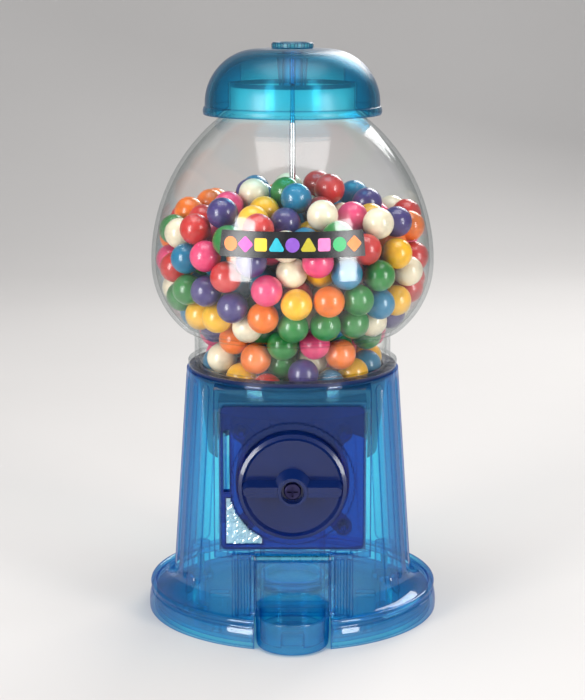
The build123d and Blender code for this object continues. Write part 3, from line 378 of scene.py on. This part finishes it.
def add_pawl_spring():
    """Coil spring over the pawl, with closed ends."""
    low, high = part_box("pawl_spring")
    centre = ((low[0] + high[0]) / 2, (low[1] + high[1]) / 2)
    coil_r = (high[0] - low[0]) / 2 - SPRING_WIRE_R
    bottom, top = low[2] + SPRING_WIRE_R, high[2] - SPRING_WIRE_R
    count = int(SPRING_TURNS * SPRING_STEPS)
    builder = bmesh.new()
    rings = []
    for k in range(count + 1):
        turned = SPRING_TURNS * k / count
        out = Vector((cos(2 * pi * turned), sin(2 * pi * turned), 0))
        height = bottom + (top - bottom) * coil_rise(turned, SPRING_TURNS)
        middle = Vector((*centre, height)) + out * coil_r
        ring = []
        for side in range(WIRE_SIDES):
            turn = 2 * pi * side / WIRE_SIDES
            offset = out * cos(turn) + Vector((0, 0, sin(turn)))
            ring.append(builder.verts.new(middle + SPRING_WIRE_R * offset))
        rings.append(ring)
    for ring, after in zip(rings, rings[1:]):
        for side in range(WIRE_SIDES):
            following = (side + 1) % WIRE_SIDES
            builder.faces.new((ring[side], after[side], after[following], ring[following]))
    builder.faces.new(rings[0])
    builder.faces.new(rings[-1][::-1])
    bmesh.ops.recalc_face_normals(builder, faces=builder.faces)
    piece = link("pawl_coil", builder, STEEL, "machine")
    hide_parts("pawl_spring")
    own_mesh(piece)


# ---------------------------------------------------------------- coin return
LINER_WIDTH, LINER_HEIGHT, LINER_DEPTH = 14.4 * MM, 18.8 * MM, 0.5 * MM
LINER_CENTRE = Vector((-19.4 * MM, AXIS_Y - 47.75 * MM, 49.9 * MM))
KNOB_Z, RING_R = 65.5 * MM, 25.3 * MM      # the raised ring round the knob cuts off the liner's corner
LINER_CELLS = 24


def add_return_liner():
    """Crinkled light-blue liner of the coin return, in the recess of the front plate; its pale haze is
    painted light, for light shining through the plate from behind.
    """
    ring_middle = Vector((0, 0, KNOB_Z))
    cells = range(LINER_CELLS + 1)
    builder = bmesh.new()
    sheets = []
    for back in (0, 1):
        sheet = {}
        for i in cells:
            for j in cells:
                x = LINER_CENTRE.x + (i / LINER_CELLS - 0.5) * LINER_WIDTH
                z = LINER_CENTRE.z + (j / LINER_CELLS - 0.5) * LINER_HEIGHT
                if (Vector((x, 0, z)) - ring_middle).length < RING_R:
                    continue
                broad = abs(noise.noise(Vector((x, 0, z)) * 420))
                fine = abs(noise.noise(Vector((x, 1, z)) * 900))
                crease = broad + 0.5 * fine
                y = LINER_CENTRE.y + LINER_DEPTH * (1 if back else -1.6 * crease)
                sheet[i, j] = builder.verts.new((x, y, z))
        sheets.append(sheet)
    for back, sheet in enumerate(sheets):
        for i, j in sheet:
            corners = [(i, j), (i + 1, j), (i + 1, j + 1), (i, j + 1)]
            if all(corner in sheet for corner in corners):
                ordered = [sheet[corner] for corner in corners]
                builder.faces.new(ordered[::-1] if back else ordered)
    edges = [edge for edge in builder.edges if edge.is_boundary]
    bmesh.ops.bridge_loops(builder, edges=edges)
    # Pale light-blue haze: painted light, standing in for light that comes through the plate from behind.
    liner = clear_plastic("return_liner_painted_backlight", (0.75, 0.95, 0.98), (0.05, 0.35, 0.65), (0.35, 0.75, 0.90),
                          haze=0.4, ripple=0.6, roughness=0.08, gloss_floor=0.2)
    piece = link("coin_return_liner_painted_backlight", builder, liner, "machine", smooth=False)


# ---------------------------------------------------------------- label
GLOBE_R, GLOBE_Z, UPPER_ARC = 58.5 * MM, 148 * MM, 76 * MM
LABEL_STEP = 6.15 * MM
SHAPE_SIZE, CORNER_R, CORNER_CUT, TRIANGLE_DROP = 2.75 * MM, 0.8 * MM, 0.9 * MM, 0.5 * MM
CORNER_REACH = {"diamond": 1.12, "square": 1.18, "triangle": 1.18}
INK_BACK, INK_FRONT = 0.44 * MM, 0.56 * MM      # how far the ink stands off the globe, inside and out
SHAPES = (("disc", "orange"), ("diamond", "magenta"), ("square", "yellow"), ("triangle", "teal"),
          ("disc", "violet"), ("triangle", "olive"), ("square", "pink"), ("disc", "green"),
          ("diamond", "orange"))
PRINT = {
    "orange": (0.85, 0.22, 0.03), "magenta": (0.65, 0.06, 0.40), "yellow": (0.85, 0.55, 0.03),
    "teal": (0.02, 0.40, 0.50), "violet": (0.22, 0.08, 0.45), "olive": (0.45, 0.38, 0.03),
    "pink": (0.80, 0.20, 0.45), "green": (0.02, 0.40, 0.12),
}


def on_label(across, height, proud):
    """Point on the front of the globe: across is arc length from the middle, proud is off the glass."""
    radius = GLOBE_R - UPPER_ARC + sqrt((UPPER_ARC + proud) ** 2 - (height - GLOBE_Z) ** 2)
    angle = across / radius
    return Vector((radius * sin(angle), AXIS_Y - radius * cos(angle), height))


def shape_outline(kind, size):
    """Outline of a plain printed shape, as (across, up) offsets; its corners are rounded."""
    if kind == "disc":
        return [(size * cos(2 * pi * k / 32), size * sin(2 * pi * k / 32)) for k in range(32)]
    corners = {"diamond": 4, "square": 4, "triangle": 3}[kind]
    turn = {"diamond": 0, "square": pi / 4, "triangle": pi / 2}[kind]
    outline = []
    for corner in range(corners):
        angle = turn + 2 * pi * corner / corners
        reach = size * CORNER_REACH[kind] - CORNER_CUT
        for step in range(-3, 4):
            round_angle = angle + step / 3 * pi / corners
            outline.append((reach * cos(angle) + CORNER_R * cos(round_angle),
                            reach * sin(angle) + CORNER_R * sin(round_angle)))
    return outline


def add_label_shapes():
    """A row of plain coloured shapes printed along the label."""
    low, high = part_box("label_panel")
    middle_z = (low.z + high.z) / 2
    for number, (kind, colour) in enumerate(SHAPES):
        across = (number - (len(SHAPES) - 1) / 2) * LABEL_STEP
        builder = bmesh.new()
        outline = shape_outline(kind, SHAPE_SIZE)
        drop = TRIANGLE_DROP if kind == "triangle" else 0
        rings = []
        for proud in (INK_BACK, INK_FRONT):
            ring = [builder.verts.new(on_label(across + u, middle_z - drop + v, proud))
                    for u, v in outline]
            hub = builder.verts.new(on_label(across, middle_z - drop, proud))
            rings.append((ring, hub))
        (back, back_hub), (front, front_hub) = rings
        count = len(outline)
        for k in range(count):
            after = (k + 1) % count
            builder.faces.new((front_hub, front[k], front[after]))
            builder.faces.new((back_hub, back[after], back[k]))
            builder.faces.new((front[k], back[k], back[after], front[after]))
        bmesh.ops.recalc_face_normals(builder, faces=builder.faces)
        tone = PRINT[colour]
        shade = tuple(0.85 * value for value in tone)
        ink = opaque(f"ink_{number}_{colour}", shade, tone, (0.3, 0.45), scale=500)
        piece = link(f"label_shape_{number}", builder, ink, "machine", smooth=False)


# ---------------------------------------------------------------- studio
FLOOR_FRONT, FLOOR_HALF_WIDTH, BACKDROP_TOP = -9.0, 8.0, 3.0
BEND_START, BEND_R = 0.9, 0.7
SKY_COLOUR, SKY_STRENGTH = (0.93, 0.96, 1.0, 1), 0.45
LIGHT_TARGET = Vector((0, 0, 0.13))
LIGHTS = (                                  # name, place, size, power
    ("key", (-0.62, -0.70, 0.30), (0.30, 0.62), 8),
    ("fill", (0.66, -0.66, 0.28), (0.24, 0.62), 6),
    ("top", (0.0, -0.1, 1.1), (0.9, 0.7), 8),
    ("rim", (0.35, 0.8, 0.7), (0.5, 0.5), 6),
)


def add_studio():
    """Pale floor that curves up into a backdrop, and soft lights."""
    builder = bmesh.new()
    outline = [(y, 0.0) for y in (FLOOR_FRONT, -0.8, 0.0, 0.8)]
    for step in range(13):
        angle = step * pi / 24
        outline.append((BEND_START + BEND_R * sin(angle), BEND_R - BEND_R * cos(angle)))
    outline.append((BEND_START + BEND_R, BACKDROP_TOP))
    rows = []
    for y, z in outline:
        rows.append([builder.verts.new((x, y, z)) for x in (-FLOOR_HALF_WIDTH, FLOOR_HALF_WIDTH)])
    for row, above in zip(rows, rows[1:]):
        builder.faces.new((row[0], row[1], above[1], above[0]))
    mesh = bpy.data.meshes.new("backdrop")
    builder.to_mesh(mesh)
    builder.free()
    for polygon in mesh.polygons:
        polygon.use_smooth = True
    paper = opaque("paper", (0.56, 0.54, 0.525), (0.58, 0.56, 0.545), (0.7, 0.9), scale=4, dent=0)
    mesh.materials.append(paper)
    backdrop = bpy.data.objects.new("backdrop", mesh)
    scene.collection.objects.link(backdrop)
    world = bpy.data.worlds.new("studio")
    world.use_nodes = True
    sky = world.node_tree.nodes["Background"]
    sky.inputs["Color"].default_value = SKY_COLOUR
    sky.inputs["Strength"].default_value = SKY_STRENGTH
    scene.world = world
    for name, place, size, power in LIGHTS:
        data = bpy.data.lights.new(name, "AREA")
        data.shape = "RECTANGLE"
        data.size, data.size_y = size
        data.energy = power
        lamp = bpy.data.objects.new(name, data)
        lamp.location = place
        lamp.rotation_euler = (LIGHT_TARGET - Vector(place)).to_track_quat("-Z", "Y").to_euler()
        scene.collection.objects.link(lamp)


def main():
    add_camera()
    finish_nodes()
    add_gumballs()
    add_pawl_spring()
    add_return_liner()
    add_label_shapes()
    add_studio()


main()
